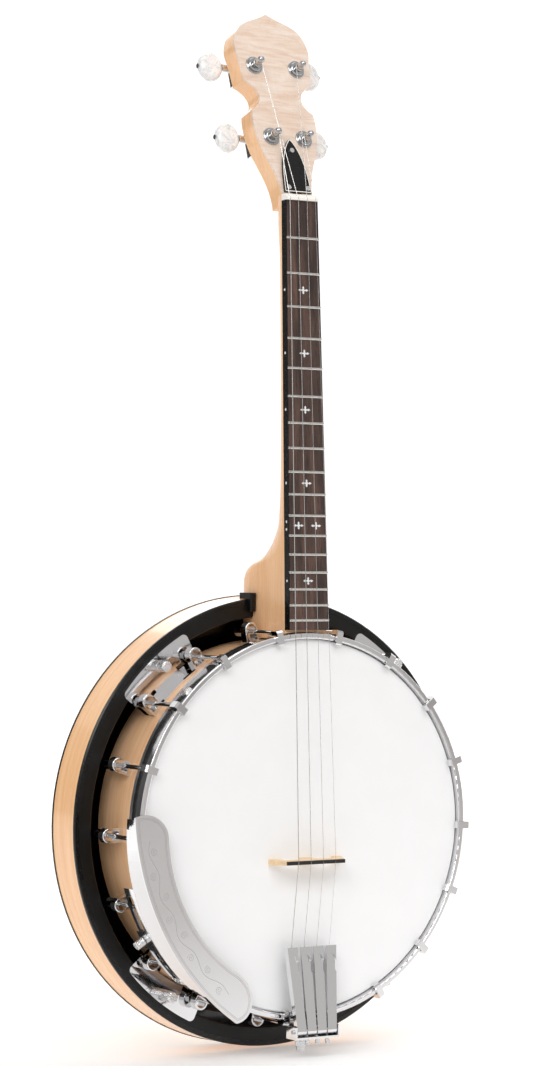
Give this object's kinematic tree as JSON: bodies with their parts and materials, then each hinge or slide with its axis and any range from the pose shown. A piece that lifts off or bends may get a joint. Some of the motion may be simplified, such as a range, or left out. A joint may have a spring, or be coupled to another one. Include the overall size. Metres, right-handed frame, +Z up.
{
  "type": "resonator banjo",
  "caption": "Short-necked four-string banjo with a tensioned drum head, hooks, tailpiece, armrest, geared tuners and a removable wooden resonator.",
  "frame": {"origin": "middle of the flat disc on the resonator's back", "axes": "+X to the viewer's right, +Y out of the back, +Z up the neck; the strings face -Y"},
  "size_m": [0.3442, 0.118, 0.791],
  "materials": {
    "rim_maple": "satin",
    "chrome": "polished",
    "head_film": "frosted",
    "aluminium": "satin",
    "steel": "satin",
    "maple": "gloss",
    "flame_maple": "gloss",
    "rosewood": "satin",
    "black_binding": "gloss",
    "fret_wire": "polished",
    "pearl": "gloss",
    "bone": "satin",
    "cover_plastic": "gloss",
    "bridge_maple": "satin",
    "ebony": "satin",
    "string_steel": "polished",
    "resonator_maple": "gloss",
    "black_band": "satin",
    "brass": "satin",
    "pearl_plastic": "gloss"
  },
  "bodies": {
    "banjo": {"rim": "rim_maple", "tone_hoop": "chrome", "drum_head": "head_film", "flesh_hoop": "aluminium", "tension_hoop": "chrome", "tension_hooks": "chrome", "hook_shoes": "chrome", "hook_nuts": "chrome", "shoe_bolts": "steel", "coordinator_rods": "chrome", "heel_bolts": "steel", "rod_nuts": "chrome", "neck": "maple", "peghead_veneer": "flame_maple", "fretboard": "rosewood", "fretboard_binding": "black_binding", "frets": "fret_wire", "fret_markers": "pearl", "nut": "bone", "truss_rod": "steel", "truss_rod_cover": "cover_plastic", "tuner_housings": "chrome", "tuner_bushings": "chrome", "peghead_screws": "chrome", "bridge": "bridge_maple", "bridge_cap": "ebony", "strings": "string_steel", "tailpiece_bracket": "chrome", "tailpiece_pin": "steel", "tailpiece_screws": "chrome", "tailpiece_bolt": "chrome", "armrest": "chrome", "armrest_clamp": "chrome", "resonator_brackets": "chrome", "thumb_screws": "chrome"},
    "resonator": {"resonator_wall": "resonator_maple", "resonator_back": "resonator_maple", "resonator_band": "black_band", "resonator_binding": "black_binding", "resonator_lugs": "brass"},
    "tuner_1": {"tuner_button_1": "pearl_plastic", "worm_shaft_1": "chrome"},
    "post_1": {"string_post_1": "chrome"},
    "tuner_2": {"tuner_button_2": "pearl_plastic", "worm_shaft_2": "chrome"},
    "post_2": {"string_post_2": "chrome"},
    "tuner_3": {"tuner_button_3": "pearl_plastic", "worm_shaft_3": "chrome"},
    "post_3": {"string_post_3": "chrome"},
    "tuner_4": {"tuner_button_4": "pearl_plastic", "worm_shaft_4": "chrome"},
    "post_4": {"string_post_4": "chrome"},
    "finger_1": {"tailpiece_finger_1": "chrome"},
    "tail_1": {"string_tail_1": "string_steel"},
    "finger_2": {"tailpiece_finger_2": "chrome"},
    "tail_2": {"string_tail_2": "string_steel"},
    "finger_3": {"tailpiece_finger_3": "chrome"},
    "tail_3": {"string_tail_3": "string_steel"},
    "finger_4": {"tailpiece_finger_4": "chrome"},
    "tail_4": {"string_tail_4": "string_steel"}
  },
  "joints": [
    {"name": "resonator_off", "type": "slide", "parent": "banjo", "child": "resonator", "axis": [0, 1, 0], "range_m": [0, 0.08]},
    {"name": "tuner_turn_1", "type": "hinge", "parent": "banjo", "child": "tuner_1", "pos_m": [-0.0146, -0.04162, 0.51954], "axis": [1, 0, 0], "continuous": true},
    {"name": "post_turn_1", "type": "hinge", "parent": "banjo", "child": "post_1", "pos_m": [-0.0146, -0.0648, 0.52019], "axis": [0, 0.9489, -0.3156], "continuous": true},
    {"name": "tuner_turn_2", "type": "hinge", "parent": "banjo", "child": "tuner_2", "pos_m": [-0.019, -0.02303, 0.57543], "axis": [1, 0, 0], "continuous": true},
    {"name": "post_turn_2", "type": "hinge", "parent": "banjo", "child": "post_2", "pos_m": [-0.019, -0.04621, 0.57608], "axis": [0, 0.9489, -0.3156], "continuous": true},
    {"name": "tuner_turn_3", "type": "hinge", "parent": "banjo", "child": "tuner_3", "pos_m": [0.019, -0.02303, 0.57543], "axis": [1, 0, 0], "continuous": true},
    {"name": "post_turn_3", "type": "hinge", "parent": "banjo", "child": "post_3", "pos_m": [0.019, -0.04621, 0.57608], "axis": [0, 0.9489, -0.3156], "continuous": true},
    {"name": "tuner_turn_4", "type": "hinge", "parent": "banjo", "child": "tuner_4", "pos_m": [0.0146, -0.04162, 0.51954], "axis": [1, 0, 0], "continuous": true},
    {"name": "post_turn_4", "type": "hinge", "parent": "banjo", "child": "post_4", "pos_m": [0.0146, -0.0648, 0.52019], "axis": [0, 0.9489, -0.3156], "continuous": true},
    {"name": "finger_swing_1", "type": "hinge", "parent": "banjo", "child": "finger_1", "pos_m": [0, -0.1145, -0.1513], "axis": [1, 0, 0], "range_deg": [-1.5, 1.5]},
    {"name": "tail_swing_1", "type": "hinge", "parent": "banjo", "child": "tail_1", "pos_m": [-0.0158, -0.1141, -0.026], "axis": [1, 0, 0], "range_deg": [-1.3, 1.3]},
    {"name": "finger_swing_2", "type": "hinge", "parent": "banjo", "child": "finger_2", "pos_m": [0, -0.1145, -0.1513], "axis": [1, 0, 0], "range_deg": [-1.5, 1.5]},
    {"name": "tail_swing_2", "type": "hinge", "parent": "banjo", "child": "tail_2", "pos_m": [-0.0047, -0.1141, -0.026], "axis": [1, 0, 0], "range_deg": [-1.3, 1.3]},
    {"name": "finger_swing_3", "type": "hinge", "parent": "banjo", "child": "finger_3", "pos_m": [0, -0.1145, -0.1513], "axis": [1, 0, 0], "range_deg": [-1.5, 1.5]},
    {"name": "tail_swing_3", "type": "hinge", "parent": "banjo", "child": "tail_3", "pos_m": [0.0064, -0.1141, -0.026], "axis": [1, 0, 0], "range_deg": [-1.3, 1.3]},
    {"name": "finger_swing_4", "type": "hinge", "parent": "banjo", "child": "finger_4", "pos_m": [0, -0.1145, -0.1513], "axis": [1, 0, 0], "range_deg": [-1.5, 1.5]},
    {"name": "tail_swing_4", "type": "hinge", "parent": "banjo", "child": "tail_4", "pos_m": [0.0174, -0.1141, -0.026], "axis": [1, 0, 0], "range_deg": [-1.3, 1.3]}
  ],
  "couplings": [
    {"joint": "post_turn_1", "follows": "tuner_turn_1", "ratio": -0.071429},
    {"joint": "post_turn_2", "follows": "tuner_turn_2", "ratio": -0.071429},
    {"joint": "post_turn_3", "follows": "tuner_turn_3", "ratio": 0.071429},
    {"joint": "post_turn_4", "follows": "tuner_turn_4", "ratio": 0.071429},
    {"joint": "tail_swing_1", "follows": "finger_swing_1", "ratio": -0.7752},
    {"joint": "tail_swing_2", "follows": "finger_swing_2", "ratio": -0.7752},
    {"joint": "tail_swing_3", "follows": "finger_swing_3", "ratio": -0.7752},
    {"joint": "tail_swing_4", "follows": "finger_swing_4", "ratio": -0.7752}
  ]
}
